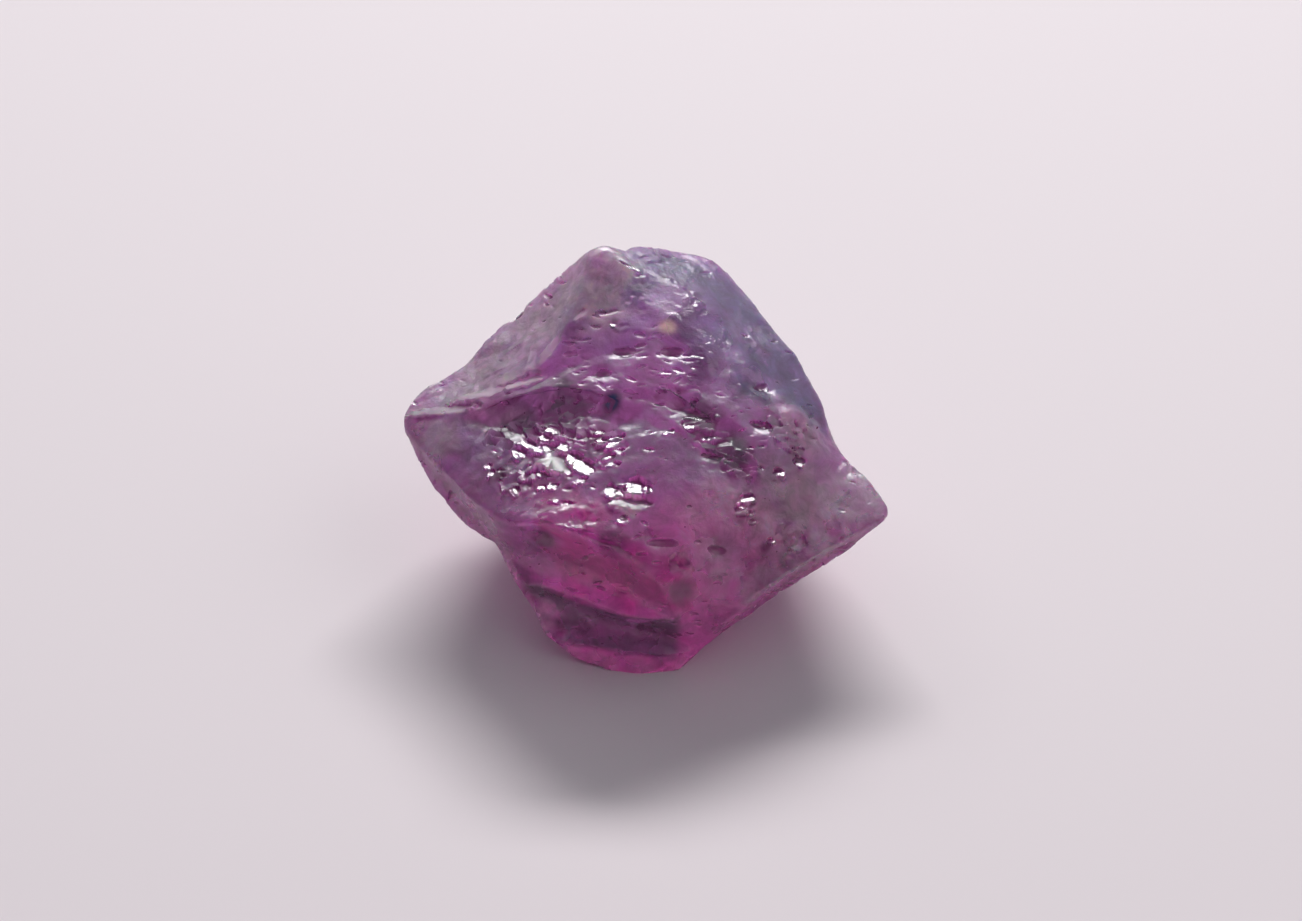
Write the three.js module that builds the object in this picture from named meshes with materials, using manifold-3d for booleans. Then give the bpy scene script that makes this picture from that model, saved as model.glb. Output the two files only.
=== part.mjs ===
// A rough sapphire: one translucent purple crystal fragment, about 10 mm across, broken and then
// rounded and etched. It is a lopsided wedge. A broad table slopes down from a crest at the back to a
// hollowed terrace, a steep front wall drops to the toe, and both ends run out into blunt tips that
// hang clear of the surface. It stands on one flat worn foot.
//
// Millimetres, +Z up, X along the length, front wall at -Y. The origin is the middle of the
// bounding box's base, on the plane of the foot.
import * as THREE from "three";
import { ImprovedNoise } from "three/addons/math/ImprovedNoise.js";
import { mergeVertices } from "three/addons/utils/BufferGeometryUtils.js";
import Module from "manifold-3d";

// ---------------------------------------------------------------- driving dimensions

// The corners where the stone's natural facets meet, each [x, y, z], measured from the toe.
const corners = {
  // rim, round the widest outline from the left tip over the crest to the right tip
  leftTip: [-5.2, 4.55, 2.8],
  leftRim1: [-4.8, 5.4, 3.05],
  leftRim2: [-3.5, 5.6, 3.25],
  leftRim3: [-3.1, 6.75, 3.6],
  leftRim4: [-2.45, 7.05, 3.9],
  leftRim5: [-1.75, 7.4, 4.5],
  peak: [-1.05, 7.2, 5.35],
  backRim1: [0.15, 8.0, 4.65],
  backRim2: [1.55, 8.1, 4.25],
  backRim3: [2.15, 7.35, 3.85],
  rightRim1: [2.95, 5.75, 3.4],
  rightRim2: [3.7, 4.9, 3.1],
  rightRim3: [3.9, 3.65, 2.75],
  rightRim4: [4.5, 3.2, 2.55],
  rightTip: [5.1, 2.35, 2.3],
  // lower outline, back along the front from the right tip to the left tip
  heelRight1: [4.25, 1.8, 1.85],
  heelRight2: [2.4, 0.95, 1.0],
  heelRight3: [1.1, 0.35, 0.4],
  toeRight: [0.6, 0.0, -0.08],
  toeLeft2: [-0.5, -0.08, -0.08],
  toeLeft1: [-1.45, 0.3, 0.08],
  heelLeft1: [-2.1, 0.6, 0.45],
  heelLeft2: [-2.7, 1.45, 1.15],
  notch: [-3.0, 2.15, 1.6],
  heelLeft3: [-3.5, 2.3, 1.75],
  heelLeft4: [-4.4, 3.2, 1.95],
  // ridge between the table and the scooped left shoulder
  ridge1: [-3.45, 4.4, 3.5],
  ridge2: [-2.2, 4.75, 4.05],
  ridge3: [-1.65, 5.25, 4.6],
  // soft shoulder between the table and the back slope
  shoulder1: [0.1, 6.6, 5.1],
  shoulder2: [1.35, 5.0, 4.65],
  shoulder3: [2.1, 3.55, 4.15],
  shoulder4: [3.3, 2.85, 3.5],
  // lip of the hollow, and the saddle beside it
  lip1: [-2.6, 4.3, 3.8],
  lip2: [-1.55, 4.3, 4.1],
  lip3: [-0.45, 3.8, 4.1],
  saddle: [0.0, 2.25, 3.7],
  // brow, the top edge of the front wall
  brow1: [-2.95, 1.55, 2.85],
  brow2: [-1.8, 1.1, 3.35],
  brow3: [-0.65, 0.65, 3.2],
  brow4: [0.25, 0.3, 2.6],
  wingEdge: [-3.8, 2.6, 2.7],
  // lower right
  cheek: [1.35, 1.15, 3.3],
  keel1: [3.65, 1.35, 2.3],
  keel2: [1.95, 0.25, 1.8],
  // sill, the lower edge of the front wall, and the bevel under it
  sill1: [-1.9, 0.95, 1.55],
  sill2: [-0.5, 0.2, 1.5],
  sill3: [0.7, 0.1, 1.4],
  bevelLeft: [-1.6, 0.3, 0.6],
  bevelRight: [0.8, -0.05, 0.45],
  // underside and back
  footLeft: [-2.0, 2.2, -0.08],
  footLeftBack: [-1.9, 4.8, -0.08],
  footBack: [0.3, 6.0, -0.08],
  footRightBack: [2.0, 4.0, -0.08],
  footRight: [1.5, 1.6, -0.08],
  flankLeft: [-3.8, 5.4, 1.6],
  flankBackLeft: [-2.4, 7.0, 2.2],
  flankBack: [0.2, 7.9, 2.5],
  flankBackRight: [2.2, 7.1, 1.8],
  flankRight: [3.7, 4.7, 1.4],
};

// Each facet is a ring of corners, and dish is how far its middle is pushed out (in, if negative).
const facets = {
  scoopLow: { ring: "leftTip leftRim1 leftRim2 leftRim3 ridge2 ridge1", dish: -0.15 },
  scoopHigh: { ring: "leftRim3 leftRim4 leftRim5 peak ridge3 ridge2", dish: -0.18 },
  table: { ring: "peak shoulder1 shoulder2 shoulder3 lip3 lip2 lip1 ridge1 ridge2 ridge3", dish: 0 },
  backSlopeHigh: { ring: "peak backRim1 backRim2 backRim3 shoulder2 shoulder1", dish: 0.08 },
  backSlopeLow: { ring: "backRim3 rightRim1 rightRim2 rightRim3 shoulder4 shoulder3 shoulder2", dish: 0.05 },
  hollow: { ring: "ridge1 lip1 lip2 lip3 saddle brow3 brow2 brow1", dish: -0.28 },
  wing: { ring: "leftTip ridge1 brow1 wingEdge", dish: 0.05 },
  wingUnder: { ring: "leftTip wingEdge brow1 notch heelLeft3 heelLeft4", dish: 0 },
  middle: { ring: "lip3 shoulder3 shoulder4 cheek saddle", dish: 0.05 },
  terrace: { ring: "saddle cheek brow4 brow3", dish: 0 },
  rightWing: { ring: "shoulder4 rightRim3 rightRim4 rightTip keel1 keel2 cheek", dish: 0.1 },
  keelUnder: { ring: "rightTip heelRight1 heelRight2 heelRight3 keel2 keel1", dish: -0.05 },
  frontRight: { ring: "cheek keel2 heelRight3 sill3 brow4", dish: 0.12 },
  frontWall: { ring: "brow1 brow2 brow3 brow4 sill3 sill2 sill1 heelLeft2 notch", dish: -0.15 },
  frontFoot: { ring: "heelLeft2 sill1 sill2 sill3 heelRight3 bevelRight bevelLeft heelLeft1", dish: 0 },
  frontBevel: { ring: "heelLeft1 bevelLeft bevelRight heelRight3 toeRight toeLeft2 toeLeft1", dish: 0.05 },
  underFrontLeft: { ring: "heelLeft2 heelLeft1 toeLeft1 footLeft", dish: 0 },
  underLeft: {
    ring: "leftTip heelLeft4 heelLeft3 notch heelLeft2 footLeft footLeftBack flankLeft",
    dish: 0.05,
  },
  wallLeft: { ring: "leftTip flankLeft flankBackLeft leftRim4 leftRim3 leftRim2 leftRim1", dish: 0.1 },
  wallBack: { ring: "leftRim4 flankBackLeft flankBack backRim1 peak leftRim5", dish: 0.1 },
  underBackLeft: { ring: "flankLeft footLeftBack footBack flankBackLeft", dish: 0 },
  underBack: { ring: "flankBackLeft footBack flankBackRight flankBack", dish: 0 },
  wallBackRight: { ring: "backRim1 flankBack flankBackRight backRim3 backRim2", dish: 0.05 },
  wallRight: { ring: "backRim3 flankBackRight flankRight rightRim2 rightRim1", dish: 0.05 },
  wallTip: { ring: "rightRim2 flankRight rightTip rightRim4 rightRim3", dish: 0 },
  underRight: { ring: "rightTip flankRight footRightBack footRight heelRight2 heelRight1", dish: 0 },
  underBackRight: { ring: "flankRight flankBackRight footBack footRightBack", dish: 0 },
  underFrontRight: { ring: "heelRight3 heelRight2 footRight toeRight", dish: 0 },
  foot: {
    ring: "toeLeft1 toeLeft2 toeRight footRight footRightBack footBack footLeftBack footLeft",
    dish: 0,
  },
};

// Edges worn so round that they are no ridge, each a chain of corners.
const softEdges = [
  "leftRim3 ridge2",
  "shoulder1 shoulder2 shoulder3 shoulder4",
  "backRim3 shoulder2",
  "lip3 saddle",
  "shoulder4 cheek",
  "saddle cheek",
  "saddle brow3",
  "brow4 cheek keel2",
];

// Shell-shaped breaks: the surface drops by depth just past the rim, and comes back over reach.
const breaks = [
  { rim: [[-3.3, 4.3, 3.5], [-2.6, 4.3, 3.8], [-1.5, 4.3, 4.1], [-0.45, 3.8, 4.1]], reach: 1.7, depth: 0.26 },
  { rim: [[-0.1, 4.15, 4.2], [0.9, 4.0, 4.2], [1.75, 3.4, 3.95]], reach: 1.2, depth: 0.2 },
  { rim: [[0.4, 3.5, 3.95], [1.2, 3.0, 3.8], [2.0, 2.4, 3.5]], reach: 0.9, depth: 0.16 },
];
const breakWay = new THREE.Vector3(-0.1, -0.93, -0.35).normalize();
const breakLip = 0.3; // how far the drop takes
const breakSide = 0.45; // how fast a break dies out past the ends of its rim

// Etched pits, longer along X: [x, y, z], radius, and depth (negative for a lump).
const pits = [
  [[-0.4, 4.95, 4.45], 0.3, 0.12],
  [[0.55, 4.9, 4.5], 0.3, 0.12],
  [[-0.9, 4.5, 4.25], 0.25, 0.1],
  [[2.35, 4.45, 3.9], 0.4, 0.14],
  [[2.35, 3.5, 3.75], 0.4, 0.16],
  [[3.25, 4.0, 3.5], 0.45, -0.12],
  [[3.1, 3.0, 3.2], 0.35, 0.12],
  [[0.35, 0.9, 3.0], 0.35, 0.14],
  [[1.45, 0.95, 2.7], 0.3, 0.12],
  [[-0.6, 7.6, 5.0], 0.35, 0.2],
  [[-3.3, 6.1, 3.4], 0.5, -0.08],
  [[-2.75, 6.85, 3.7], 0.3, 0.14],
  [[-1.65, 0.7, 0.8], 0.3, 0.1],
  [[-2.0, 1.25, 2.7], 0.35, 0.1],
];
const stretch = 1.5; // how much longer than wide a pit is

const waves = [ // unevenness of every face: wavelength and height
  [1.6, 0.07],
  [0.7, 0.03],
];

const splits = 3; // each split cuts a triangle in four
const sharpSplits = 2; // ridges stay sharp this many splits, so the rest rounds them

// ---------------------------------------------------------------- the faceted body

const pairKey = (a, b) => (a < b ? `${a}_${b}` : `${b}_${a}`);

// Corners and facets as a triangle mesh with its ridges marked. A ring of more than four corners
// is a fan round its own middle.
function facetedBody() {
  const names = Object.keys(corners);
  const points = names.map((name) => new THREE.Vector3(...corners[name]));
  const middle = points.reduce((sum, p) => sum.add(p), new THREE.Vector3()).divideScalar(names.length);
  const triangles = [];
  const ridges = new Set();

  for (const { ring, dish } of Object.values(facets)) {
    const loop = ring.split(" ").map((name) => names.indexOf(name));
    const centre = loop.reduce((sum, i) => sum.add(points[i]), new THREE.Vector3()).divideScalar(loop.length);
    const normal = new THREE.Vector3();
    loop.forEach((i, k) => {
      const next = points[loop[(k + 1) % loop.length]];
      normal.add(new THREE.Vector3().crossVectors(points[i].clone().sub(centre), next.clone().sub(centre)));
    });
    if (normal.dot(centre.clone().sub(middle)) < 0) {
      loop.reverse();
      normal.negate();
    }
    loop.forEach((i, k) => ridges.add(pairKey(i, loop[(k + 1) % loop.length])));
    if (loop.length === 4) {
      triangles.push([loop[0], loop[1], loop[2]], [loop[0], loop[2], loop[3]]);
      continue;
    }
    points.push(centre.addScaledVector(normal.normalize(), dish));
    loop.forEach((i, k) => triangles.push([i, loop[(k + 1) % loop.length], points.length - 1]));
  }

  for (const chain of softEdges) {
    const along = chain.split(" ").map((name) => names.indexOf(name));
    along.slice(1).forEach((i, k) => ridges.delete(pairKey(along[k], i)));
  }
  return { points, triangles, ridges };
}

// One step of Loop subdivision. Points on a ridge only average along it, and points where three
// ridges meet stay where they are.
function split({ points, triangles, ridges }) {
  const edges = new Map();
  for (const [a, b, c] of triangles) {
    for (const [from, to, across] of [[a, b, c], [b, c, a], [c, a, b]]) {
      const key = pairKey(from, to);
      if (!edges.has(key)) edges.set(key, { ends: [from, to], across: [] });
      edges.get(key).across.push(across);
    }
  }
  const around = points.map(() => ({ all: [], ridge: [] }));
  for (const [key, { ends: [a, b] }] of edges) {
    around[a].all.push(b);
    around[b].all.push(a);
    if (ridges.has(key)) {
      around[a].ridge.push(b);
      around[b].ridge.push(a);
    }
  }
  const blend = (weights) =>
    weights.reduce((sum, [i, w]) => sum.addScaledVector(points[i], w), new THREE.Vector3());

  const made = points.map((p, i) => {
    const { all, ridge } = around[i];
    if (ridge.length > 2) return p.clone();
    if (ridge.length === 2) return blend([[i, 3 / 4], [ridge[0], 1 / 8], [ridge[1], 1 / 8]]);
    const share = 3 / (8 * all.length);
    return blend([[i, 5 / 8], ...all.map((j) => [j, share])]);
  });
  const middles = new Map();
  const ridgesMade = new Set();
  for (const [key, { ends: [a, b], across: [c, d] }] of edges) {
    const sharp = ridges.has(key);
    middles.set(key, made.length);
    const shares = sharp ? [[a, 1 / 2], [b, 1 / 2]] : [[a, 3 / 8], [b, 3 / 8], [c, 1 / 8], [d, 1 / 8]];
    made.push(blend(shares));
    if (sharp) [a, b].forEach((end) => ridgesMade.add(pairKey(end, middles.get(key))));
  }
  const trianglesMade = triangles.flatMap(([a, b, c]) => {
    const [ab, bc, ca] = [pairKey(a, b), pairKey(b, c), pairKey(c, a)].map((key) => middles.get(key));
    return [[a, ab, ca], [ab, b, bc], [ca, bc, c], [ab, bc, ca]];
  });
  return { points: made, triangles: trianglesMade, ridges: ridgesMade };
}

// ---------------------------------------------------------------- relief

const noise = new ImprovedNoise();

// How far a point of the surface is moved out along its normal.
function relief(p) {
  let out = 0;
  for (const [length, height] of waves) {
    out += height * noise.noise(p.x / length + 5.3, p.y / length + 2.9, p.z / length + 7.1);
  }
  for (const [[x, y, z], radius, depth] of pits) {
    const near = Math.min(Math.hypot((p.x - x) / stretch, p.y - y, p.z - z) / radius, 1);
    out -= depth * (1 - near * near) ** 2;
  }
  for (const { rim, reach, depth } of breaks) out -= depth * breakShare(p, rim, reach);
  return out;
}

// From 0 to 1, how much of a break's depth a point has.
function breakShare(p, rim, reach) {
  let nearest = Infinity;
  let share = 0;
  rim.slice(1).forEach((end, k) => {
    const side = new THREE.Line3(new THREE.Vector3(...rim[k]), new THREE.Vector3(...end));
    const offset = p.clone().sub(side.closestPointToPoint(p, true, new THREE.Vector3()));
    if (offset.length() >= nearest) return;
    nearest = offset.length();
    const along = offset.dot(breakWay);
    const aside = offset.addScaledVector(breakWay, -along).length();
    const drop = THREE.MathUtils.smoothstep(along, 0, breakLip);
    share = drop * Math.max(1 - along / reach, 0) ** 1.5 * Math.exp(-((aside / breakSide) ** 2));
  });
  return share;
}

// ---------------------------------------------------------------- the solid

function stoneGeometry() {
  let body = facetedBody();
  for (let level = 0; level < splits; level++) {
    if (level === sharpSplits) body.ridges = new Set();
    body = split(body);
  }
  const geometry = new THREE.BufferGeometry().setFromPoints(body.points).setIndex(body.triangles.flat());
  geometry.computeVertexNormals();
  const normals = geometry.getAttribute("normal");
  body.points.forEach((p, i) => {
    const normal = new THREE.Vector3().fromBufferAttribute(normals, i);
    p.addScaledVector(normal, relief(p));
  });
  geometry.setFromPoints(body.points);
  geometry.deleteAttribute("normal");
  return geometry;
}

const wasm = await Module();
wasm.setup();

const solidOf = (geometry) =>
  new wasm.Manifold(
    new wasm.Mesh({
      numProp: 3,
      vertProperties: geometry.getAttribute("position").array,
      triVerts: new Uint32Array(geometry.index.array),
    }),
  );

// Everything under the plane of the foot is worn away.
function wornFlat(geometry) {
  const size = 30;
  const ground = new THREE.BoxGeometry(size, size, size).translate(0, 0, -size / 2);
  ground.deleteAttribute("normal");
  ground.deleteAttribute("uv");
  const worn = solidOf(geometry).subtract(solidOf(mergeVertices(ground))).getMesh();
  return new THREE.BufferGeometry()
    .setAttribute("position", new THREE.BufferAttribute(worn.vertProperties, 3))
    .setIndex(new THREE.BufferAttribute(worn.triVerts, 1));
}

const stone = wornFlat(stoneGeometry());
stone.computeBoundingBox();
const middle = stone.boundingBox.getCenter(new THREE.Vector3());
stone.translate(-middle.x, -middle.y, -stone.boundingBox.min.z);
stone.computeVertexNormals();

const purple = new THREE.MeshStandardMaterial({ color: 0x7c5578, roughness: 0.3, metalness: 0 });
const sapphire = new THREE.Mesh(stone, purple);
sapphire.name = "sapphire";

const group = new THREE.Group();
group.add(sapphire);
export default group;
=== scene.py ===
"""Rough sapphire: the look of one etched, broken, see-through purple crystal fragment on a pale floor.

Lengths in the shape code are millimetres. Blender's are metres.
"""
import math

import bpy
import numpy as np
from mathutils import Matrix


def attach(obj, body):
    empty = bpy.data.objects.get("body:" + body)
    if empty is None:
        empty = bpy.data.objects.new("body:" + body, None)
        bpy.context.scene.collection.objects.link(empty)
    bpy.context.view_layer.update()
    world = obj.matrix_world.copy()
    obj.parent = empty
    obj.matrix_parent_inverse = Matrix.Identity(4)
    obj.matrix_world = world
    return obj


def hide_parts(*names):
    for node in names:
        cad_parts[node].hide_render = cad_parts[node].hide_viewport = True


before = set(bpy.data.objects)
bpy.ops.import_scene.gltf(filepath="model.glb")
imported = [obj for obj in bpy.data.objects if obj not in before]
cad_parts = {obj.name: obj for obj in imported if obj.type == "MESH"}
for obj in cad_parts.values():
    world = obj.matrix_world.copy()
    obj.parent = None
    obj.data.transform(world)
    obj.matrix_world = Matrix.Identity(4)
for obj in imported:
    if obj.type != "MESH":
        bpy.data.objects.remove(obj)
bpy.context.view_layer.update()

MM = 0.001
SEED = 11
# How many times the CAD surface's triangles are cut in four, and the share of each rounding.
SPLITS = 3
ROUNDING = 0.3
# How many times the surface is smoothed to tell its hollows from its level, the share of each, and how far
# below the level the hollows start and are full; the material paints shade into them.
HOLLOW_SHADE_PASSES = 30
HOLLOW_SHADE_SHARE = 0.7
HOLLOW_SHADE_DEPTH = (0.004, 0.03)
MOST_TRIANGLES = 190000
# Edges sharper than this stay sharp.
CREASE = math.radians(38)

# ---------------------------------------------------------------- the photograph

# Its width and height in pixels, where it was taken from in millimetres, how far the camera looks down, and
# its lens and film width.
PHOTO = (1302, 921)
EYE = (0.1509, -53.4347, 55.6149)
DOWN = 45
LENS = 100
FILM = 36
# What the bright facets mirror: the height and turn of a point of the key light, in degrees, and how far off.
MIRRORED = (34.5, 8, 250)


def sight(pixel):
    """The way that the camera looks at a pixel of the photograph."""
    down = math.radians(DOWN)
    up = np.array([0, math.cos(down), math.sin(down)])
    ahead = np.array([0, math.sin(down), -math.cos(down)])
    side = np.array([1, 0, 0]) * (pixel[0] - PHOTO[0] / 2) - up * (pixel[1] - PHOTO[1] / 2)
    way = ahead + side * FILM / (LENS * PHOTO[0])
    return way / np.linalg.norm(way)


def shown(points, triangles, pixel):
    """The place on a surface that the photograph shows at a pixel."""
    way = sight(pixel)
    a, b, c = (points[triangles[:, corner]] for corner in range(3))
    across = np.cross(way, c - a)
    over = np.cross(EYE - a, b - a)
    scale = ((b - a) * across).sum(axis=1)
    share_b = ((EYE - a) * across).sum(axis=1) / scale
    share_c = (over * way).sum(axis=1) / scale
    away = ((c - a) * over).sum(axis=1) / scale
    hit = (share_b >= 0) & (share_c >= 0) & (share_b + share_c <= 1) & (away > 0)
    return EYE + away[hit].min() * way


def mirroring(place):
    """The slope along X and Y with which a facet throws the light into the camera."""
    up, aside = math.radians(MIRRORED[0]), math.radians(MIRRORED[1])
    light = np.array([math.cos(up) * math.sin(aside), math.cos(up) * math.cos(aside), math.sin(up)])
    to_light = MIRRORED[2] * light - place
    to_eye = EYE - place
    normal = to_light / np.linalg.norm(to_light) + to_eye / np.linalg.norm(to_eye)
    return -normal[:2] / normal[2]


def read_off(points, triangles, pixel, half_sizes, angle, sizes):
    """A facet's place, half length, half width, turn and slope, from what the photograph shows of it.

    All are rounded, since a pixel can't be read more finely.
    """
    place = np.round(shown(points, triangles, pixel), 2)
    slope = mirroring(place)
    normal = np.array([-slope[0], -slope[1], 1])
    angle = math.radians(angle)
    length = half_sizes[0] * np.array([math.cos(angle), -math.sin(angle)])
    width = half_sizes[1] * np.array([math.sin(angle), math.cos(angle)])
    ways = [sight(pixel + step) for step in (0 * length, length, width)]
    middle, end, side = (way * ((place - EYE) @ normal) / (way @ normal) for way in ways)
    turn = math.degrees(math.atan2(*(end - middle)[1::-1]))
    if sizes is None:
        sizes = [round(math.hypot(*(far - middle)[:2]), 2) for far in (end, side)]
    return place, *sizes, round(turn), np.round(slope, 2)


# ---------------------------------------------------------------- mesh tools


def welded(node):
    """Corner points in millimetres, and triangles, of a CAD node, with equal points merged."""
    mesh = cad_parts[node].data
    mesh.calc_loop_triangles()
    points = np.empty(len(mesh.vertices) * 3, np.float32)
    mesh.vertices.foreach_get("co", points)
    points = points.reshape(-1, 3).astype(float) / MM
    triangles = np.empty(len(mesh.loop_triangles) * 3, np.int32)
    mesh.loop_triangles.foreach_get("vertices", triangles)
    points, place = np.unique(np.round(points, 4), axis=0, return_inverse=True)
    triangles = place.reshape(-1)[triangles].reshape(-1, 3)
    whole = (
        (triangles[:, 0] != triangles[:, 1])
        & (triangles[:, 1] != triangles[:, 2])
        & (triangles[:, 2] != triangles[:, 0])
    )
    return points, triangles[whole]


def split(points, triangles):
    """Every triangle cut in four at its edges' middles."""
    edges = np.sort(triangles[:, [0, 1, 1, 2, 2, 0]].reshape(-1, 2), axis=1)
    edges, place = np.unique(edges, axis=0, return_inverse=True)
    middle = place.reshape(-1, 3) + len(points)
    a, b, c = triangles.T
    ab, bc, ca = middle.T
    triangles = np.concatenate(
        [np.stack(t, axis=1) for t in ((a, ab, ca), (ab, b, bc), (ca, bc, c), (ab, bc, ca))]
    )
    return np.concatenate([points, points[edges].mean(axis=1)]), triangles


def smoothed(points, triangles, share):
    """Each point moved towards the mean of its neighbours."""
    total = np.zeros_like(points)
    count = np.zeros(len(points))
    for i, j in ((0, 1), (1, 2), (2, 0)):
        for p, q in ((triangles[:, i], triangles[:, j]), (triangles[:, j], triangles[:, i])):
            for axis in range(3):
                total[:, axis] += np.bincount(p, points[q, axis], len(points))
            count += np.bincount(p, minlength=len(points))
    return points + share * (total / count[:, None] - points)


def normals_of(points, triangles):
    """The surface's direction at each point."""
    corners = points[triangles]
    face = np.cross(corners[:, 1] - corners[:, 0], corners[:, 2] - corners[:, 0])
    normal = np.zeros_like(points)
    for i in range(3):
        for axis in range(3):
            normal[:, axis] += np.bincount(triangles[:, i], face[:, axis], len(points))
    return normal / (np.linalg.norm(normal, axis=1, keepdims=True) + 1e-12)


def chance(cell, seed):
    """A number from 0 to 1 for each whole-numbered cell, the same in every run."""
    key = (cell * np.array([73856093, 19349663, 83492791])[: cell.shape[1]]).sum(axis=1) + seed * 668265263
    key = (key ^ (key >> 13)) * 1274126177 & 0x7FFFFFFF
    key = (key ^ (key >> 15)) * 1103515245 & 0x7FFFFFFF
    return ((key ^ (key >> 16)) & 0xFFFFF) / 0xFFFFF


def noise(points, wavelength, seed):
    """Smooth gradient noise, about -1 to 1."""
    p = np.asarray(points) / wavelength + 17.3 * seed
    cell = np.floor(p).astype(np.int64)
    part = p - cell
    fade = part * part * part * (part * (part * 6 - 15) + 10)
    total = np.zeros(len(p))
    for corner in np.ndindex(2, 2, 2):
        corner = np.array(corner)
        turn = 2 * math.pi * chance(cell + corner, seed)
        up = 2 * chance(cell + corner, seed + 101) - 1
        flat = np.sqrt(1 - up * up)
        slope = np.stack([flat * np.cos(turn), flat * np.sin(turn), up], axis=1)
        weight = np.prod(np.where(corner, fade, 1 - fade), axis=1)
        total += weight * ((part - corner) * slope).sum(axis=1)
    return 1.6 * total


def step(low, high, value):
    """0 at low, 1 at high, and smooth between them."""
    share = np.clip((value - low) / (high - low), 0, 1)
    return share * share * (3 - 2 * share)


def reach_of(points, middle, radii):
    """0 at the middle of an ellipsoid and 1 at its surface."""
    return np.linalg.norm((points - np.array(middle)) / np.array(radii), axis=1)


# ---------------------------------------------------------------- the stone's surface

# Broken patches, where the surface falls in flat chips: middle and radii of the patch, length and width of a
# chip, the turn of its length from +X in degrees, the chips' mean slope along X and Y, and how far that
# strays.
CHIPS = [
    ((-1.80, -0.62, 3.50), (1.05, 0.36, 0.5), (0.34, 0.17), -10, (-0.10, 0.06), 0.24),
    ((-2.30, -1.60, 3.20), (0.80, 0.36, 0.5), (0.28, 0.15), 10, (-0.10, 0.10), 0.28),
    ((-0.70, -1.10, 3.68), (0.40, 0.50, 0.5), (0.40, 0.13), 28, (-0.10, 0.12), 0.25),
    ((-0.30, -2.15, 3.44), (0.60, 0.24, 0.4), (0.26, 0.16), 10, (-0.10, 0.10), 0.25),
    ((2.05, -2.25, 3.10), (0.24, 0.42, 0.4), (0.26, 0.13), 25, (0.0, 0.2), 0.3),
    ((0.75, -0.05, 4.08), (0.55, 0.26, 0.4), (0.34, 0.13), -15, (0, 0.6), 0.5),
    ((1.20, -0.62, 3.88), (0.42, 0.30, 0.4), (0.44, 0.13), 5, (0, 0.3), 0.5),
    ((1.45, -1.05, 3.76), (0.50, 0.30, 0.4), (0.36, 0.13), -5, (0, 0.5), 0.5),
    ((1.95, -1.45, 3.56), (0.50, 0.34, 0.4), (0.34, 0.13), -10, (0, 0.6), 0.5),
    ((-1.75, 0.00, 3.75), (1.30, 0.30, 0.5), (0.36, 0.14), 5, (0, 0.6), 0.5),
    ((-2.70, -0.50, 3.38), (0.80, 0.50, 0.5), (0.36, 0.18), -35, (0.0, 0.25), 0.4),
    ((2.90, -0.60, 3.45), (0.55, 0.55, 0.5), (0.24, 0.14), 20, (-0.5, 0.1), 0.35),
    ((3.00, -2.55, 2.60), (0.36, 0.30, 0.6), (0.30, 0.14), 30, (-0.4, 0.6), 0.25),
]
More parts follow.
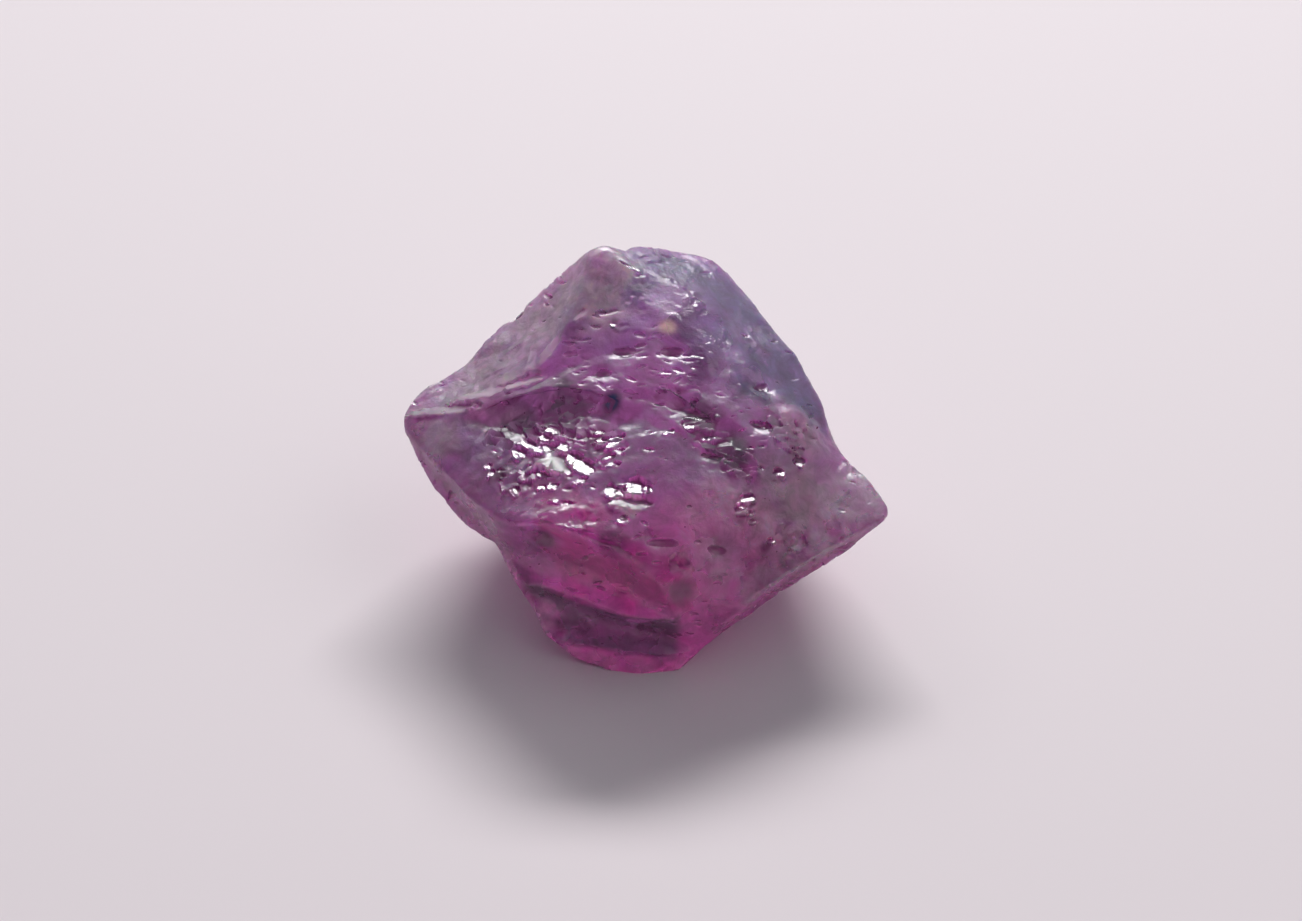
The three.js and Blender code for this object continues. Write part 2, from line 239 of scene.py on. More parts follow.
# Bright facets: flat, smooth breaks that mirror the key light, as read off the photograph. The pixel of the
# middle, the half length and half width in pixels, the turn of the length from the picture's right in
# degrees, and the half sizes in millimetres where they were set on the stone instead.
FACETS = [
    # the broken band on the left of the table
    ((553, 432), (8, 3.5), -10, (0.20, 0.15)),
    ((545, 438), (6, 2.5), 0, (0.14, 0.10)),
    ((560, 445), (10, 6), -30, (0.26, 0.12)),
    ((527, 445), (6, 3), -20, (0.20, 0.13)),
    ((520, 454), (6, 4), 10, (0.17, 0.16)),
    ((541, 450), (12, 3.5), 0, (0.34, 0.12)),
    ((574, 458), (6, 5), -50, (0.22, 0.18)),
    ((583, 467), (8, 6), -45, (0.25, 0.22)),
    ((580, 481), (8, 2.2), 10, None),
    # the chips below it
    ((515, 492), (5, 4.5), 20, None),
    ((542, 475), (8, 2.8), -5, None),
    ((541, 488), (5, 2.5), 20, None),
    ((552, 487), (6, 3.5), 20, None),
    ((561, 502), (13, 2.2), -12, None),
    ((488, 467), (3.5, 2.2), 0, (0.09, 0.07)),
    ((491, 474), (5, 2), 35, (0.13, 0.06)),
    # the broken corner by the lip
    ((612, 492), (6, 5), 0, (0.16, 0.20)),
    ((623, 494), (8, 2.6), 0, (0.20, 0.11)),
    ((636, 488), (9, 6), 15, (0.26, 0.22)),
    ((647, 489), (5, 3), -10, (0.12, 0.12)),
    ((623, 520), (5, 4), 30, None),
    # the feathered break in the middle
    ((599, 433), (5, 1.8), 0, (0.12, 0.06)),
    ((602, 441), (8, 2), -12, (0.18, 0.06)),
    ((612, 444), (10, 2), 32, (0.26, 0.07)),
    ((617, 437), (10, 2), 8, (0.21, 0.07)),
    ((609, 457), (8, 1.8), 15, (0.18, 0.06)),
    ((612, 465), (10, 1.6), 5, (0.21, 0.06)),
    # the rims of the stepped groove
    ((694, 402), (3.5, 3.5), -40, None),
    ((698, 418), (14, 1.8), 0, (0.29, 0.07)),
    ((690, 426), (7, 2), 12, (0.17, 0.07)),
    ((669, 433), (6, 1.8), 15, (0.14, 0.06)),
    ((708, 437), (7, 1.6), 10, (0.16, 0.06)),
    ((716, 456), (8, 1.6), -5, (0.16, 0.06)),
    # near the right corner
    ((780, 473), (5, 3.2), -20, (0.12, 0.10)),
    ((797, 464), (6, 2.2), -20, None),
    ((746, 500), (9, 3.2), 20, (0.22, 0.10)),
    ((742, 507), (4, 2), 0, (0.09, 0.07)),
    ((750, 514), (3.5, 1.8), 0, (0.08, 0.06)),
    ((752, 522), (3.5, 1.8), 10, (0.08, 0.06)),
    ((771, 542), (3.5, 1.8), 0, (0.08, 0.06)),
    # on the front wall
    ((675, 563), (6, 4), 20, (0.15, 0.12)),
    ((684, 566), (7, 4), -10, (0.15, 0.12)),
    # single ones on the table
    ((592, 409), (4, 2.2), 0, (0.07, 0.04)),
    ((665, 373), (6, 2), 0, (0.13, 0.04)),
    ((614, 325), (4.5, 3), 0, (0.08, 0.05)),
    ((632, 268), (12, 2), -21, (0.26, 0.04)),
]
# Blades along the crest, and smooth patches: rough facets, which the material paints with a pale sheen.
# Place, half length, half width, the turn of the length from +X in degrees, and the slope along X and Y.
BLADES = [
    ((-4.19, 0.52, 3.16), 0.80, 0.13, -10, (0.30, -0.06)),
    ((-3.34, 0.62, 3.50), 0.70, 0.13, -3, (0.34, -0.04)),
    ((-2.43, 0.62, 3.90), 0.48, 0.13, 9, (0.30, -0.04)),
    ((-1.98, 1.13, 4.18), 0.34, 0.12, 51, (0.30, 0.30)),
    ((-1.30, 1.73, 4.70), 0.18, 0.08, 41, (0.10, 0.10)),
    ((-1.74, -1.32, 3.40), 0.54, 0.27, -8, (-0.11, -0.02)),
    ((-0.30, -2.42, 3.38), 0.42, 0.18, 0, (-0.09, -0.05)),
]
# Places that turn away from the light, laid in the same way, and with the look of the skin round them.
TURNED = [
    ((-1.60, -2.72, 3.25), 0.60, 0.22, -8, (-0.02, 0.22)),
    ((0.45, 2.20, 4.80), 0.75, 0.50, -10, (-0.22, 0.14)),
]
# The most that a chip and a facet move the surface.
CHIP_MOST = 0.08
FACET_MOST = 0.10
# Lumps: height, wavelength and seed of each layer of noise.
LUMPS = [
    (0.022, 0.60, 1),
    (0.013, 0.22, 2),
    (0.004, 0.11, 3),
]
# Growth steps on the lower and back faces: how high they stand, how far apart they are, and how far they
# wander.
GROWTH_HEIGHT = 0.05
GROWTH_RISE = 0.46
GROWTH_WANDER = 0.2
# Places that swell: middle, radius and height.
SWELLS = [
    ((3.05, 1.90, 3.30), 1.30, 0.16),
]
# Where the lumps and the pits are faint: middle and radii, and how much of each is taken away.
CALM = ((0.95, 2.35, 4.60), (1.70, 1.50, 1.20))
CALM_LUMPS = 0.75
CALM_PITS = 0.85
# Ledges: a line along the lip, how far the hollow below it reaches, and how deep it goes.
LEDGES = [
    (
        [(-3.4, 0.27, 3.4), (-2.7, 0.33, 3.7), (-2.0, 0.4, 3.95), (-1.1, 0.15, 4.1), (-0.4, -0.15, 4.0)],
        0.60,
        0.20,
    ),
    ([(0.2, 0.15, 4.2), (0.6, 0.05, 4.15), (1.1, -0.3, 4.0), (1.45, -0.5, 3.9)], 0.40, 0.15),
    ([(0.9, -0.75, 3.9), (1.5, -0.85, 3.8), (1.8, -1.0, 3.7)], 0.30, 0.12),
    ([(1.1, -1.15, 3.75), (1.8, -1.3, 3.65), (2.3, -1.5, 3.5)], 0.30, 0.12),
    ([(-2.5, -2.5, 3.0), (-1.9, -2.78, 3.2), (-1.2, -3.0, 3.26), (-0.7, -3.25, 3.15)], 0.30, 0.05),
]
# Hackle marks: long blades with one steep side, from end to end, with their width and height.
HACKLES = [
    ((-1.43, 1.62, 4.65), (-1.18, 1.84, 4.78), 0.10, 0.04),
    ((-2.15, 2.75, 4.00), (-1.95, 3.05, 4.20), 0.14, 0.03),
    ((-1.30, 3.00, 4.80), (-1.20, 2.70, 4.85), 0.14, 0.03),
    ((-0.55, 3.15, 5.20), (-0.05, 2.85, 5.10), 0.12, 0.04),
    ((-3.60, 1.10, 3.35), (-2.60, 1.30, 3.80), 0.16, 0.03),
    ((-3.00, 1.60, 3.60), (-2.30, 1.90, 4.00), 0.14, 0.03),
]
# Single pits: place, half length, half width and depth.
PITS = [
    ((2.40, 0.52, 3.81), 0.20, 0.08, 0.05),
    ((2.39, -0.48, 3.71), 0.26, 0.11, 0.07),
    ((3.16, -1.01, 3.23), 0.20, 0.10, 0.06),
    ((0.37, -3.11, 3.00), 0.34, 0.10, 0.07),
    ((1.48, -3.03, 2.68), 0.22, 0.10, 0.06),
    ((-1.66, -3.44, 0.61), 0.16, 0.10, 0.06),
    ((-0.39, 1.04, 4.37), 0.26, 0.11, 0.06),
    ((0.58, 0.97, 4.44), 0.26, 0.12, 0.07),
    ((-0.84, 0.59, 4.17), 0.20, 0.10, 0.05),
    ((2.10, 1.80, 4.06), 0.10, 0.06, 0.05),
    ((-0.08, 1.30, 4.60), 0.16, 0.08, 0.04),
]
# Where small pits crowd: middle and radii of the patch, how many, and the most that a half length is.
CROWDS = [
    ((-0.10, 1.00, 4.40), (1.50, 1.05, 0.9), 110, 0.18),
    ((-1.80, -0.70, 3.50), (1.70, 1.60, 0.9), 60, 0.13),
    ((1.30, -0.80, 3.80), (1.30, 1.20, 0.9), 45, 0.15),
    ((2.90, -0.30, 3.50), (0.90, 1.50, 0.9), 40, 0.13),
    ((0.20, -3.40, 2.20), (2.00, 0.90, 1.6), 55, 0.15),
    ((0.00, 3.60, 2.50), (5.50, 2.50, 2.6), 90, 0.20),
    ((-3.20, 1.00, 1.40), (2.50, 3.50, 1.4), 45, 0.18),
    ((3.40, 0.50, 1.40), (2.50, 3.50, 1.4), 45, 0.18),
    ((0.00, 0.00, 2.50), (6.00, 5.00, 4.0), 170, 0.10),
]


def from_line(points, line):
    """Each point's offset from the nearest place on a line through corners, and its share of the length."""
    best = np.full(len(points), np.inf)
    away = np.zeros_like(points)
    along = np.zeros(len(points))
    run = 0.0
    line = np.array(line)
    for start, end in zip(line[:-1], line[1:]):
        length = np.linalg.norm(end - start)
        way = (end - start) / length
        share = np.clip((points - start) @ way, 0, length)
        offset = points - start - share[:, None] * way
        distance = np.linalg.norm(offset, axis=1)
        closer = distance < best
        best[closer] = distance[closer]
        away[closer] = offset[closer]
        along[closer] = run + share[closer]
        run += length
    return away, along / run


def chipped(points, normal, seed, middle, radii, chip, turn, slope, stray):
    """The points, with those in an ellipsoid laid on flat chips that step down with the surface."""
    turn = math.radians(turn)
    offset = points[:, :2] - np.array(middle)[:2]
    reach = reach_of(points, middle, radii) + 0.3 * noise(points, 0.25, seed)
    share = (1 - step(0.8, 1, reach)) * (normal[:, 2] > 0.3)
    inside = np.flatnonzero(share > 0)
    offset = offset[inside]
    grid = np.stack(
        [
            (offset[:, 0] * math.cos(turn) + offset[:, 1] * math.sin(turn)) / chip[0],
            (offset[:, 1] * math.cos(turn) - offset[:, 0] * math.sin(turn)) / chip[1],
        ],
        axis=1,
    )
    cell = np.floor(grid).astype(np.int64)
    best = np.full(len(inside), np.inf)
    mine = cell.copy()
    for x in (-1, 0, 1):
        for y in (-1, 0, 1):
            other = cell + (x, y)
            seat = other + np.stack([chance(other, seed), chance(other, seed + 1)], axis=1)
            distance = ((grid - seat) ** 2).sum(axis=1)
            closer = distance < best
            best[closer] = distance[closer]
            mine[closer] = other[closer]
    cells, place = np.unique(mine, axis=0, return_inverse=True)
    place = place.reshape(-1)
    count = np.bincount(place)
    x, y, z = points[inside].T
    mean = [np.bincount(place, value) / count for value in (x, y, z)]
    along_x = slope[0] + stray * (2 * chance(cells, seed + 2) - 1)
    along_y = slope[1] + stray * (2 * chance(cells, seed + 3) - 1)
    flat = mean[2][place] + along_x[place] * (x - mean[0][place]) + along_y[place] * (y - mean[1][place])
    points[inside, 2] += share[inside] * np.clip(flat - z, -CHIP_MOST, CHIP_MOST)
    return points


def faceted(points, normal, facets, seed, edge=(0.85, 1.1), ripple=0.0):
    """Lays the points near each place on a flat facet, and gives how far inside a facet each point is.

    edge is where the facet starts to fade and where it ends, as shares of its size, and ripple is the height
    of its waves.
    """
    inside = np.zeros(len(points))
    for number, (place, half_length, half_width, turn, slope) in enumerate(facets):
        offset = points - np.array(place)
        most = 1.5 * max(half_length, half_width)
        near = (np.abs(offset[:, 0]) < most) & (np.abs(offset[:, 1]) < most) & (np.abs(offset[:, 2]) < 0.5)
        near = np.flatnonzero(near & (normal[:, 2] > 0.2))
        x, y, z = offset[near].T
        turn = math.radians(turn)
        u = (x * math.cos(turn) + y * math.sin(turn)) / half_length
        v = (y * math.cos(turn) - x * math.sin(turn)) / half_width
        reach = np.sqrt(u * u + v * v) + 0.35 * noise(points[near], 0.14, seed + number)
        share = 1 - step(edge[0], edge[1], reach)
        if share.sum() == 0:
            continue
        tilt = slope[0] * x + slope[1] * y
        flat = ripple * noise(points[near], 0.25, seed) + (share * (z - tilt)).sum() / share.sum() + tilt
        points[near, 2] += share * np.clip(flat - z, -FACET_MOST, FACET_MOST)
        inside[near] = np.maximum(inside[near], share)
    return inside


def pitted(points, normal, pits, rng):
    """How far each point goes in at pits shaped like crescents, with the steep wall on the upper side."""
    depth_at = np.zeros(len(points))
    order = np.argsort(points[:, 0])
    across_x = points[order, 0]
    for place, half_length, half_width, depth in pits:
        place = np.array(place)
        most = 1.5 * half_length
        first, last = np.searchsorted(across_x, [place[0] - most, place[0] + most])
        close = order[first:last]
        close = close[np.linalg.norm(points[close] - place, axis=1) < most]
        if len(close) == 0:
            continue
        n = normal[close].mean(axis=0)
        along = np.cross(n, (0, 1, 1))
        along = along / (np.linalg.norm(along) + 0.001) + rng.normal(0, 0.25, 3)
        along -= n * along.dot(n) / n.dot(n)
        along /= np.linalg.norm(along)
        across = np.cross(n, along)
        offset = points[close] - place
        u = offset @ along / half_length
        v = offset @ across / half_width + rng.uniform(-0.9, 0.1) * u * u
        v = np.where(v > 0, v * 0.8, v * 1.5)
        inside = np.clip(1 - u * u - v * v, 0, 1)
        depth_at[close] = np.maximum(depth_at[close], depth * inside ** 0.7)
    return depth_at


def crowd(points, normal, rng):
    """Small pits at random places in each patch."""
    pits = []
    for middle, radii, count, longest in CROWDS:
        patch = np.flatnonzero((reach_of(points, middle, radii) < 1) & (points[:, 2] > 0.1))
        for place in rng.choice(patch, count, replace=False):
            half_length = longest * rng.uniform(0.3, 1.0)
            half_width = half_length * rng.uniform(0.24, 0.42)
            pits.append((points[place], half_length, half_width, half_width * rng.uniform(0.35, 0.7)))
    return pits


def stone_surface():
    """The stone's points and triangles, and the numbers that the material reads at each point."""
    points, triangles = welded("sapphire")
    facets = [read_off(points, triangles, *facet) for facet in FACETS]
    low = points.min(axis=0)
    high = points.max(axis=0)
    for level in range(SPLITS):
        points, triangles = split(points, triangles)
        points = smoothed(points, triangles, ROUNDING)
    calm = 1 - step(0.6, 1, reach_of(points, *CALM))
    rng = np.random.default_rng(SEED)

    # lumps and swells
    normal = normals_of(points, triangles)
    out = sum(height * noise(points, wavelength, seed) for height, wavelength, seed in LUMPS)
    out *= 1 - CALM_LUMPS * calm
    for middle, radius, height in SWELLS:
        out += height * (1 - step(0, 1, reach_of(points, middle, (radius, radius, radius))))

    # growth steps round the lower and back faces
    hidden = step(0.1, -0.3, normal[:, 2] - normal[:, 1])
    rise = (points[:, 2] + GROWTH_WANDER * noise(points, 1.4, 31)) / GROWTH_RISE
    strength = 0.5 + 0.5 * noise(points, 1.1, 32)
    out += GROWTH_HEIGHT * hidden * strength * (rise - np.floor(rise) - 0.5)

    # hollows under the ledges
    for line, reach, depth in LEDGES:
        away, share = from_line(points, line)
        distance = np.linalg.norm(away, axis=1)
        ends = step(0, 0.15, share) * step(1, 0.85, share)
        below = step(0, 0.05, -away[:, 1] - away[:, 2]) * (normal[:, 1] < 0.3)
        out -= depth * ends * below * np.clip(1 - distance / reach, 0, 1) ** 1.5

    # hackle marks
    for start, end, width, height in HACKLES:
        away, share = from_line(points, [start, end])
        distance = np.linalg.norm(away, axis=1)
        steep = away[:, 1] + away[:, 2] - away[:, 0] > 0
        blade = np.clip(1 - distance / np.where(steep, width, 0.3 * width), 0, 1)
        out += height * blade * 4 * share * (1 - share)
    points = points + normal * out[:, None]

    # chips, facets and pits
    normal = normals_of(points, triangles)
    for number, chip in enumerate(CHIPS):
        points = chipped(points, normal, 10 * number + 7, *chip)

    normal = normals_of(points, triangles)
    pits = PITS + crowd(points, normal, rng)
    turned = faceted(points, normal, TURNED, 200, edge=(0.4, 1.3), ripple=0.006)
    blades = faceted(points, normal, BLADES, 300)
    fresh = faceted(points, normal, facets, 400)
    plain = 1 - np.maximum(turned, np.maximum(blades, fresh))
    depth = plain * (1 - CALM_PITS * calm) * pitted(points, normal, pits, rng)
    points = points - normal * depth[:, None]
    fresh = np.maximum(fresh, 0.4 * step(0, 0.02, depth))

    # what the material is told of each point, besides the facets, among it the hollows, where shade is
    # painted
    points = np.clip(points, low, high)
    mild = points
    for level in range(HOLLOW_SHADE_PASSES):
        mild = smoothed(mild, triangles, HOLLOW_SHADE_SHARE)
    normal = normals_of(mild, triangles)
    hollow_shade = step(*HOLLOW_SHADE_DEPTH, ((mild - points) * normal).sum(axis=1))
    under = step(0.05, -0.4, normal[:, 2] - normal[:, 1])
    return points, triangles, {"fresh": fresh, "hollow_shade": hollow_shade, "under": under, "blade": blades}


def mesh_object(name, points, triangles):
    mesh = bpy.data.meshes.new(name)
    mesh.from_pydata((points * MM).tolist(), [], triangles.tolist())
    mesh.polygons.foreach_set("use_smooth", np.ones(len(mesh.polygons), bool))
    mesh.update()
    made = bpy.data.objects.new(name, mesh)
    bpy.context.scene.collection.objects.link(made)
    return made


def thinned(obj, most):
    """The object's mesh with at most that many triangles, kept where the surface bends."""
    modifier = obj.modifiers.new("thin", "DECIMATE")
    modifier.ratio = min(1, most / len(obj.data.polygons))
    bpy.context.view_layer.update()
    mesh = bpy.data.meshes.new_from_object(obj.evaluated_get(bpy.context.evaluated_depsgraph_get()))
    obj.modifiers.clear()
    obj.data = mesh
    mesh.polygons.foreach_set("use_smooth", np.ones(len(mesh.polygons), bool))
    return obj


# ---------------------------------------------------------------- materials


class Nodes:
    """Adds nodes to a tree and links them, in short calls."""

    def __init__(self, tree):
        self.tree = tree
        tree.nodes.clear()

    def add(self, kind, inputs=None, **settings):
        """A node with these settings, and with each input set or linked."""
        node = self.tree.nodes.new(kind)
        for name, value in settings.items():
            setattr(node, name, value)
        for name, value in (inputs or {}).items():
            if isinstance(value, bpy.types.NodeSocket):
                self.tree.links.new(value, node.inputs[name])
            else:
                node.inputs[name].default_value = value
        return node

    def layer(self, name):
        """A number that the mesh keeps at its points."""
        return self.add("ShaderNodeAttribute", attribute_name=name).outputs["Fac"]

    def noise(self, place, scale, detail, **more):
        inputs = {"Vector": place, "Scale": scale, "Detail": detail, **more}
        return self.add("ShaderNodeTexNoise", inputs).outputs["Fac"]

    def ranged(self, value, source, target, **settings):
        """The value with one range laid on another."""
        inputs = {"Value": value, "From Min": source[0], "From Max": source[1]}
        inputs.update({"To Min": target[0], "To Max": target[1]})
        return self.add("ShaderNodeMapRange", inputs, **settings).outputs["Result"]

    def maths(self, operation, a, b):
        return self.add("ShaderNodeMath", {0: a, 1: b}, operation=operation).outputs["Value"]

    def mix(self, amount, a, b, **settings):
        """Colour a, with that amount of colour b."""
        inputs = {"Factor": amount, "A": a, "B": b}
        return self.add("ShaderNodeMix", inputs, data_type="RGBA", **settings).outputs["Result"]


# Colours of the stone: in front and below, at the back and on top, on the hidden sides, the painted pale
# sheen on the blades and the painted shade in the hollows, and how much of each of the last two.
FRONT = (0.76, 0.27, 0.66, 1)
BACK = (0.44, 0.36, 0.66, 1)
HIDDEN = (0.74, 0.28, 0.68, 1)
BLADE_SHEEN = (0.94, 0.90, 0.98, 1)
HOLLOW_SHADE = (0.17, 0.07, 0.19, 1)
BLADE_SHEEN_AMOUNT = 0.6
HOLLOW_SHADE_AMOUNT = 0.75
# Roughness, from the smoothest patches to the roughest, in front and on top, and that of fresh breaks and of
# the dusky patch of painted shade.
FRONT_ROUGHNESS = (0.20, 0.32)
BACK_ROUGHNESS = (0.30, 0.44)
FRESH_ROUGHNESS = 0.12
DUSK_ROUGHNESS = 0.18
# Strength of the fine grain on the skin and on the blades, and its height in metres.
SKIN_GRAIN = 0.5
BLADE_GRAIN = 0.1
GRAIN_HEIGHT = 0.00003


def corundum():
    material = bpy.data.materials.new("corundum")
    material.use_nodes = True
    make = Nodes(material.node_tree)
    place = make.add("ShaderNodeTexCoord").outputs["Object"]

    # colour zones: magenta in front and below, greyer violet at the back and on top
    part = make.add("ShaderNodeSeparateXYZ", {"Vector": place})
    upper = make.maths("ADD", part.outputs["Y"], part.outputs["Z"])
    zone = make.ranged(upper, (-0.002, 0.007), (0.0, 1.0))
    drift = make.ranged(make.noise(place, 600.0, 5.0), (0.3, 0.7), (-0.2, 0.2))
    level = make.maths("ADD", zone, drift)
    colour = make.add("ShaderNodeValToRGB", {"Fac": level})
    colour.color_ramp.elements[0].position = 0.1
    colour.color_ramp.elements[0].color = FRONT
    colour.color_ramp.elements[1].position = 0.9
    colour.color_ramp.elements[1].color = BACK
    tint = colour.outputs["Color"]
    for name, patch_colour in STAINS_AND_PAINTED_LIGHT.items():
        tint = make.mix(make.layer(name), tint, patch_colour)
    tint = make.mix(make.layer("under"), tint, HIDDEN)

    # fine mottling, a painted pale sheen on the blades and painted shade in the deep hollows
    flecks = make.noise(place, 2400.0, 6.0, Roughness=0.75, Distortion=0.6)
    tint = make.mix(1.0, tint, make.ranged(flecks, (0.3, 0.7), (0.55, 1.4)), blend_type="MULTIPLY")
    blade = make.layer("blade")
    # painted sheen: the blades and smooth patches are lightened towards a pale colour
    tint = make.mix(make.maths("MULTIPLY", blade, BLADE_SHEEN_AMOUNT), tint, BLADE_SHEEN)
    # painted shade: the hollows are darkened towards a deep wine colour
    tint = make.mix(make.maths("MULTIPLY", make.layer("hollow_shade"), HOLLOW_SHADE_AMOUNT), tint, HOLLOW_SHADE)

    # etched patches, smooth fresh breaks
    smoother = make.ranged(level, (0.0, 1.0), (FRONT_ROUGHNESS[0], BACK_ROUGHNESS[0]))
    rougher = make.ranged(level, (0.0, 1.0), (FRONT_ROUGHNESS[1], BACK_ROUGHNESS[1]))
    etched = make.ranged(make.noise(place, 1500.0, 3.0), (0.3, 0.7), (smoother, rougher))
    roughness = make.ranged(make.layer("fresh"), (0.0, 1.0), (etched, FRESH_ROUGHNESS))
    roughness = make.ranged(make.layer("dusk_shade"), (0.0, 1.0), (roughness, DUSK_ROUGHNESS))
    bump = make.add(
        "ShaderNodeBump",
        {
            "Height": make.noise(place, 7000.0, 4.0, Roughness=0.55),
            "Strength": make.ranged(blade, (0.0, 1.0), (SKIN_GRAIN, BLADE_GRAIN)),
            "Distance": GRAIN_HEIGHT,
        },
    )
    shader = make.add(
        "ShaderNodeBsdfPrincipled",
        {
            "Base Color": tint,
            "Roughness": roughness,
            "IOR": 1.77,
            "Transmission Weight": 0.7,
            "Subsurface Weight": 1.0,
            "Subsurface Radius": (2.2, 0.5, 1.4),
            "Subsurface Scale": 0.001,
            "Normal": bump.outputs["Normal"],
        },
    )
    inside = make.add("ShaderNodeVolumeAbsorption", {"Color": (0.88, 0.16, 0.62, 1), "Density": 280.0})
    ends = {"Surface": shader.outputs["BSDF"], "Volume": inside.outputs["Volume"]}
    make.add("ShaderNodeOutputMaterial", ends)
    return material


def floor_material():
    material = bpy.data.materials.new("pale_floor")
    material.use_nodes = True
    make = Nodes(material.node_tree)
    shader = make.add("ShaderNodeBsdfPrincipled", {"Base Color": (0.82, 0.73, 0.76, 1), "Roughness": 0.6})
    make.add("ShaderNodeOutputMaterial", {"Surface": shader.outputs["BSDF"]})
    return material


# Patches of another colour, each laid over the ones before it, and where they lie on the stone: middle and
# radius. Some of them are painted shade and painted sheen, as said at each.
STAINS_AND_PAINTED_LIGHT = {
    "mauve_skin": (0.68, 0.42, 0.64, 1),
    "rose_skin": (0.98, 0.60, 0.88, 1),
    "wine_stain": (0.76, 0.14, 0.52, 1),
    # painted shade: a dark patch on the right of the top
    "dusk_shade": (0.12, 0.10, 0.21, 1),
    "dark_stain": (0.001, 0.035, 0.075, 1),
    "plum_stain": (0.24, 0.06, 0.22, 1),
    # painted reflection: pale blue-white on two smooth patches and round the peak, as if they mirror the sky
    "white_sheen": (0.88, 0.94, 0.98, 1),
    "tan_stain": (0.86, 0.93, 0.60, 1),
    # painted shade: dark grey in the recess under the ledge, in the groove and on the facet by the foot
    "grey_shade": (0.14, 0.16, 0.20, 1),
    # painted shade: darker, greyer violet on the right and at the back of the top
    "violet_shade": (0.32, 0.31, 0.56, 1),
    # painted sheen: lighter, paler patches that stand for the haze mirrored off the faces
    "pale_sheen": (0.74, 0.64, 0.78, 1),
}
STAIN_AND_PAINTED_LIGHT_PLACES = {
    "mauve_skin": [
        ((3.19, -1.80, 2.84), 1.10),
        ((3.22, -0.38, 3.45), 0.90),
        ((-4.87, 0.39, 2.84), 0.70),
        ((2.57, -2.97, 2.29), 0.60),
        ((-1.52, -3.59, 0.26), 0.40),
        ((-0.90, -3.83, 0.06), 0.45),
        ((0.00, -3.85, 0.05), 0.45),
        ((0.70, -3.80, 0.05), 0.40),
    ],
    "rose_skin": [
        ((1.14, -3.00, 2.95), 1.20),
        ((2.15, -2.67, 2.86), 0.90),
        ((1.50, -2.30, 3.28), 0.70),
        ((2.77, -2.64, 2.53), 0.60),
    ],
    "dark_stain": [
        ((-0.65, -0.13, 3.98), 0.36),
    ],
    "plum_stain": [
        ((-2.00, -2.63, 2.61), 0.35),
        ((-0.67, -3.32, 3.05), 0.55),
        ((-0.95, -0.75, 3.65), 0.40),
        ((2.46, -2.83, 2.53), 0.20),
        ((2.87, -2.93, 2.20), 0.20),
        ((0.78, -3.69, 2.15), 0.40),
        ((-3.00, -1.30, 3.05), 0.30),
    ],
    # painted shade: a dark patch on the right of the top
    "dusk_shade": [
        ((1.15, 1.50, 4.52), 1.00),
        ((1.30, 0.80, 4.30), 0.75),
        ((2.15, 0.40, 4.00), 0.70),
    ],
    "wine_stain": [
        ((-1.70, -2.60, 3.20), 0.75),
        ((-1.10, -2.70, 3.25), 0.60),
        ((-1.50, -3.15, 2.40), 1.00),
        ((-0.50, -3.50, 2.30), 1.10),
        ((0.50, -3.65, 2.20), 0.90),
    ],
    # painted reflection: pale blue-white on two smooth patches and round the peak, as if they mirror the sky
    "white_sheen": [
        ((-1.80, -1.30, 3.40), 0.50),
        ((-0.30, -2.42, 3.38), 0.40),
        ((-0.91, 2.26, 4.93), 0.75),
        ((-0.60, 2.70, 5.05), 0.70),
        ((-0.91, 1.84, 4.76), 0.80),
    ],
    "tan_stain": [((0.44, 1.42, 4.66), 0.26)],
    # painted shade: dark grey in the recess under the ledge, in the groove and on the facet by the foot
    "grey_shade": [
        ((-1.60, 0.00, 3.75), 0.90),
        ((-2.60, -0.10, 3.50), 0.70),
        ((1.20, -0.50, 3.95), 0.60),
        ((1.80, -1.20, 3.65), 0.60),
    ],
    # painted shade: darker, greyer violet on the right and at the back of the top
    "violet_shade": [
        ((1.60, 1.50, 4.40), 0.90),
        ((2.90, 1.90, 3.50), 1.50),
        ((2.10, 2.70, 4.10), 1.20),
        ((2.20, 1.00, 4.00), 1.10),
        ((3.30, 0.60, 3.30), 0.90),
        ((0.90, 3.40, 4.60), 1.00),
        ((1.70, 3.40, 4.10), 1.00),
    ],
    # painted sheen: lighter, paler patches that stand for the haze mirrored off the faces
    "pale_sheen": [
        ((4.40, -1.50, 2.50), 1.10),
        ((1.54, -3.19, 2.53), 0.80),
        ((-4.30, -0.20, 2.90), 0.80),
        ((-2.10, -3.20, 0.80), 0.50),
        ((2.16, -3.40, 1.86), 0.45),
        ((2.57, -3.20, 2.01), 0.45),
        ((3.08, -2.88, 2.20), 0.45),
        ((3.59, -2.55, 2.29), 0.50),
        ((-3.40, 1.20, 3.50), 1.60),
        ((-2.20, 2.40, 4.20), 1.60),
        ((-1.30, 3.20, 4.80), 1.20),
    ],
}
# The facet near the foot that is painted grey as shade, seen from the front: X, and the heights of its lower
# and upper edges.
FOOT_FACET = [
    (-2.65, 1.25, 1.50),
    (-2.24, 0.98, 1.42),
    (-1.84, 0.61, 1.36),
    (-1.24, 0.44, 1.34),
    (-0.05, 0.25, 1.45),
    (0.85, 0.13, 1.50),
]
# How far a patch's edge wanders, as a share of its radius, and how far the edges of the grey facet, with its
# painted shade, do.
PATCH_WANDER = 0.3
FOOT_WANDER = 0.08


def keep(mesh, layers):
    """Keeps a number at each point of the mesh, under each name."""
    for name, amount in layers.items():
        mesh.attributes.new(name, "FLOAT", "POINT").data.foreach_set("value", amount.astype(np.float32))


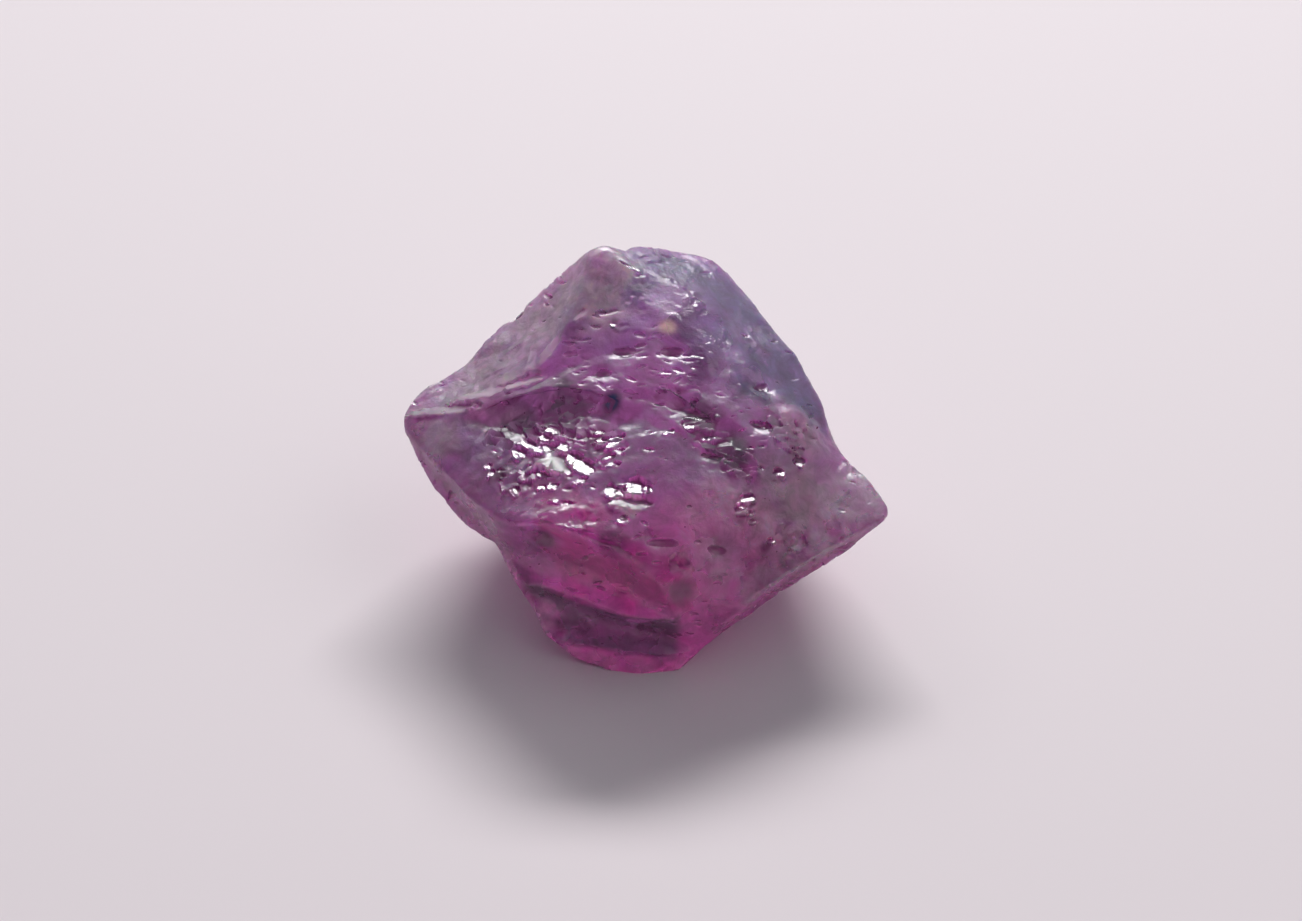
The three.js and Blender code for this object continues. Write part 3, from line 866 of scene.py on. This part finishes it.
def paint(mesh):
    """The numbers that the material reads for the stains and for the painted shade and sheen."""
    points = np.empty(len(mesh.vertices) * 3, np.float32)
    mesh.vertices.foreach_get("co", points)
    points = points.reshape(-1, 3) / MM
    layers = {}
    wander = PATCH_WANDER * noise(points, 0.35, 51)
    for name, places in STAIN_AND_PAINTED_LIGHT_PLACES.items():
        layers[name] = np.zeros(len(points))
        for middle, radius in places:
            reach = np.linalg.norm(points - np.array(middle), axis=1) / radius + wander
            layers[name] = np.maximum(layers[name], 1 - step(0.3, 1, reach))
    # painted shade on the facet by the foot, which faces the shadowed floor
    x, lower, upper = np.array(FOOT_FACET).T
    height = points[:, 2] + FOOT_WANDER * noise(points, 0.5, 41)
    above = step(-0.10, 0.14, height - np.interp(points[:, 0], x, lower))
    below = step(0.08, -0.08, height - np.interp(points[:, 0], x, upper))
    between = step(x[0], x[0] + 0.4, points[:, 0]) * step(x[-1], x[-1] - 0.25, points[:, 0])
    in_front = points[:, 1] < -2
    layers["grey_shade"] = np.maximum(layers["grey_shade"], above * below * (between * in_front))
    keep(mesh, layers)


# ---------------------------------------------------------------- the stone

points, triangles, layers = stone_surface()
stone = mesh_object("rough_sapphire", points, triangles)
keep(stone.data, layers)
stone = thinned(stone, MOST_TRIANGLES)
stone.data.set_sharp_from_angle(angle=CREASE)
paint(stone.data)
stone.data.materials.append(corundum())
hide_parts("sapphire")
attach(stone, "root")

# ---------------------------------------------------------------- floor, light and camera

FLOOR = 0.6
bpy.ops.mesh.primitive_plane_add(size=FLOOR, location=(0, 0, -0.00001))
floor = bpy.context.object
floor.name = "floor"
floor.data.materials.append(floor_material())

LIGHT_DISTANCE = 0.4


def softbox(name, height, turn, wide, tall, energy):
    """A soft light that faces the stone.

    height and turn are where its middle is, and wide and tall how much of the stone's view it takes, all in
    degrees.
    """
    light = bpy.data.lights.new(name, "AREA")
    light.shape = "RECTANGLE"
    light.size = 2 * LIGHT_DISTANCE * math.tan(math.radians(wide / 2))
    light.size_y = 2 * LIGHT_DISTANCE * math.tan(math.radians(tall / 2))
    light.energy = energy
    made = bpy.data.objects.new(name, light)
    up = math.radians(height)
    aside = math.radians(turn)
    made.location = (
        LIGHT_DISTANCE * math.cos(up) * math.sin(aside),
        LIGHT_DISTANCE * math.cos(up) * math.cos(aside),
        LIGHT_DISTANCE * math.sin(up),
    )
    made.rotation_euler = made.location.to_track_quat("Z", "Y").to_euler()
    bpy.context.scene.collection.objects.link(made)


softbox("key", 34, 4, 38, 8, 1.62)
softbox("left", 31, -36, 26, 12, 0.13)
softbox("side", 42, 85, 50, 40, 0.24)

world = bpy.data.worlds.new("studio")
bpy.context.scene.world = world
world.use_nodes = True
sky = Nodes(world.node_tree)
way = sky.add("ShaderNodeSeparateXYZ", {"Vector": sky.add("ShaderNodeTexCoord").outputs["Generated"]})
# the sky is brighter behind the stone than behind the camera, and a little brighter on the left
brighter_back = sky.ranged(way.outputs["Y"], (-0.45, 0.25), (0.10, 0.25), interpolation_type="SMOOTHSTEP")
brighter_left = sky.ranged(way.outputs["X"], (-0.8, 0.8), (1.05, 0.95), interpolation_type="SMOOTHSTEP")
strength = sky.maths("MULTIPLY", brighter_back, brighter_left)
light = sky.add("ShaderNodeBackground", {"Color": (0.90, 0.96, 1.06, 1), "Strength": strength})
sky.add("ShaderNodeOutputWorld", {"Surface": light.outputs["Background"]})

# where the photograph was taken from
camera = bpy.data.objects.new("camera", bpy.data.cameras.new("camera"))
camera.data.lens = LENS
camera.data.sensor_width = FILM
camera.data.clip_start = 0.001
camera.location = [part * MM for part in EYE]
camera.rotation_euler = (math.radians(DOWN), 0, 0)
bpy.context.scene.collection.objects.link(camera)
bpy.context.scene.camera = camera
bpy.context.scene.view_settings.view_transform = "Standard"
